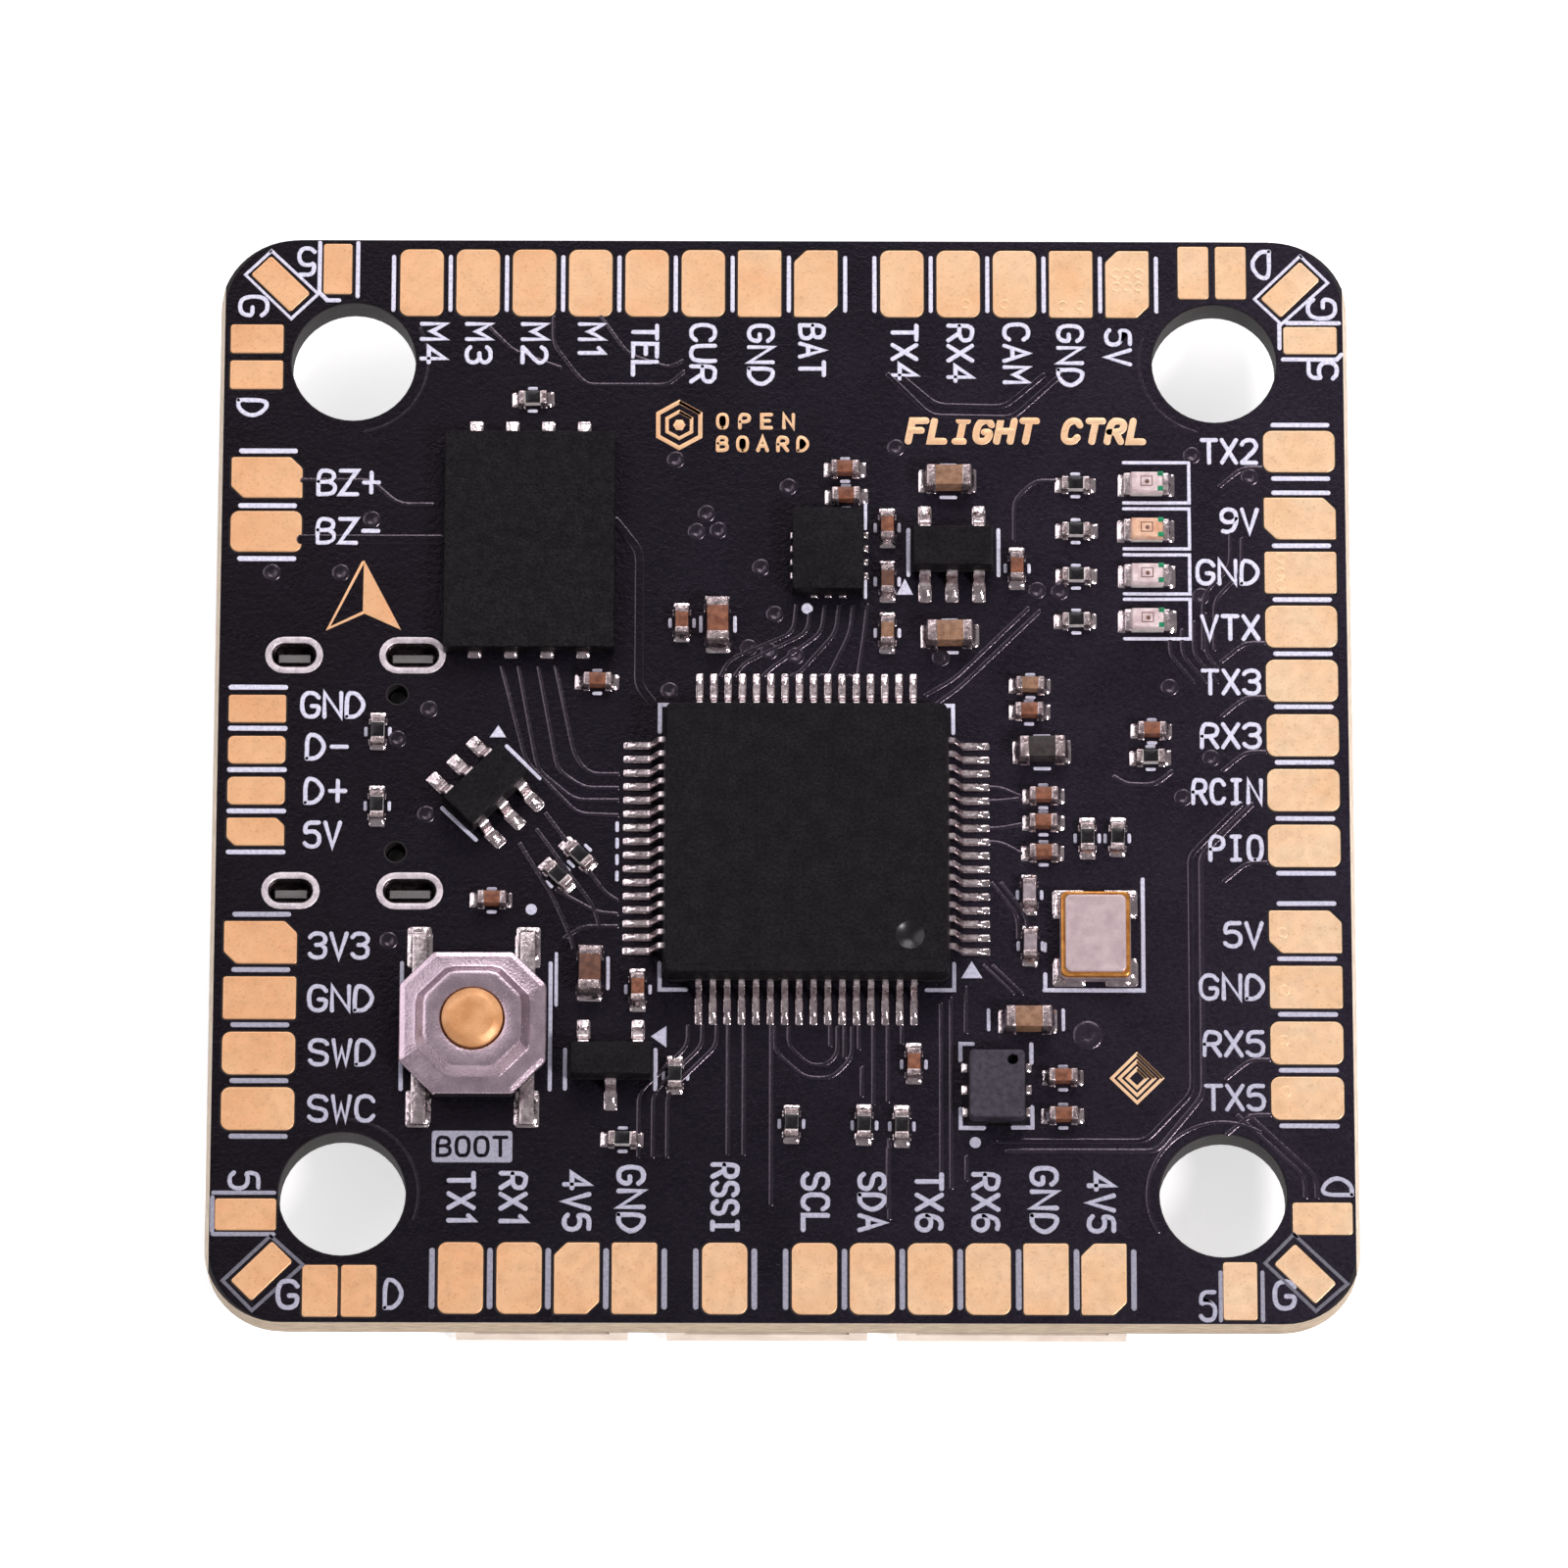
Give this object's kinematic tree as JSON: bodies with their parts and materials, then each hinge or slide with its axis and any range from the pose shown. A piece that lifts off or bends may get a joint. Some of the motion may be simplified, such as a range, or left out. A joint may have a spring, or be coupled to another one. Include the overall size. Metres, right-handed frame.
{
  "type": "flight controller board",
  "caption": "Square flight controller circuit board with rubber-mount holes, edge solder pads, processor, sensors, boot button, USB-C socket and wire sockets underneath.",
  "frame": {"origin": "centre of the four mounting holes, on the lower face of the board", "axes": "+Z out of the component side, +X to the right edge with the receiver pads, USB mouth towards -X, wire sockets open towards -Y"},
  "size_m": [0.04, 0.0396, 0.0063],
  "materials": {
    "fr4": "sawn glass-epoxy edge",
    "solder_mask": "near-black satin lacquer over copper relief",
    "gold_pad": "immersion gold, soft satin",
    "plated_hole": "tinned",
    "black_moulding": "epoxy moulding compound, fine grain",
    "grey_moulding": "slate epoxy, fine grain",
    "tinned_lead": "matte tin",
    "solder": "reflowed solder",
    "brown_ceramic": "fired barium titanate",
    "tan_ceramic": "fired ceramic",
    "grey_ceramic": "fired ceramic",
    "ferrite": "sintered ferrite",
    "alumina": "alumina",
    "resistor_coat": "glass overcoat",
    "crystal_ceramic": "black alumina",
    "gold_ring": "gold-plated seam ring",
    "crystal_lid": "satin plated lid",
    "led_base": "white laminate",
    "led_lens": "translucent resin",
    "led_die": "semiconductor die",
    "switch_base": "glass-filled nylon",
    "switch_steel": "stainless, fine grain",
    "switch_button": "amber nylon",
    "spring_steel": "spring steel",
    "usb_steel": "nickel-plated steel",
    "usb_black": "liquid-crystal polymer",
    "contact_gold": "gold-plated contact",
    "cream_nylon": "natural nylon",
    "inductor_core": "pressed iron powder"
  },
  "bodies": {
    "board": {"pcb_laminate": "fr4", "solder_mask_top": "solder_mask", "solder_mask_bottom": "solder_mask", "solder_pads": "gold_pad", "usb_slot_plating": "plated_hole", "mcu_package": "black_moulding", "mcu_leads": "tinned_lead", "flash_package": "black_moulding", "flash_terminals": "tinned_lead", "imu_package": "black_moulding", "imu_terminals": "gold_pad", "barometer_base": "fr4", "barometer_lid": "grey_moulding", "crystal_base": "crystal_ceramic", "crystal_seam_ring": "gold_ring", "crystal_lid": "crystal_lid", "regulator_package": "black_moulding", "regulator_leads": "tinned_lead", "usb_esd_package": "black_moulding", "usb_esd_leads": "tinned_lead", "transistor_package": "black_moulding", "transistor_leads": "tinned_lead", "capacitor_0402_bodies": "brown_ceramic", "capacitor_0402_terminals": "solder", "capacitor_0603_bodies": "tan_ceramic", "capacitor_0603_terminals": "solder", "load_capacitor_bodies": "grey_ceramic", "load_capacitor_terminals": "solder", "ferrite_bead_body": "ferrite", "ferrite_bead_terminals": "solder", "resistor_substrates": "alumina", "resistor_coatings": "resistor_coat", "resistor_terminals": "solder", "led_bases": "led_base", "led_lenses": "led_lens", "led_terminals": "solder", "led_dies": "led_die", "boot_switch_base": "switch_base", "boot_switch_cover": "switch_steel", "boot_switch_dome": "spring_steel", "boot_switch_terminals": "tinned_lead", "usb_shell": "usb_steel", "usb_tongue": "usb_black", "usb_contacts": "contact_gold", "usb_housing": "usb_black", "connector_4pin_housing": "cream_nylon", "connector_5pin_housing": "cream_nylon", "connector_6pin_housing": "cream_nylon", "connector_contacts": "tinned_lead", "connector_anchor_tabs": "tinned_lead", "osd_package": "black_moulding", "osd_leads": "tinned_lead", "buck_inductor_cores": "inductor_core", "buck_inductor_terminals": "tinned_lead", "buck_regulator_packages": "black_moulding", "buck_regulator_leads": "tinned_lead", "power_capacitor_bodies": "tan_ceramic", "power_capacitor_terminals": "solder"},
    "boot_button": {"boot_switch_plunger": "switch_button"}
  },
  "joints": [
    {"name": "boot_button_press", "type": "slide", "parent": "board", "child": "boot_button", "axis": [0, 0, -1], "range_m": [0, 0.00025], "stiffness_N_per_m": 2000, "springref_m": -0.0002, "deforming": ["boot_switch_dome"]}
  ]
}
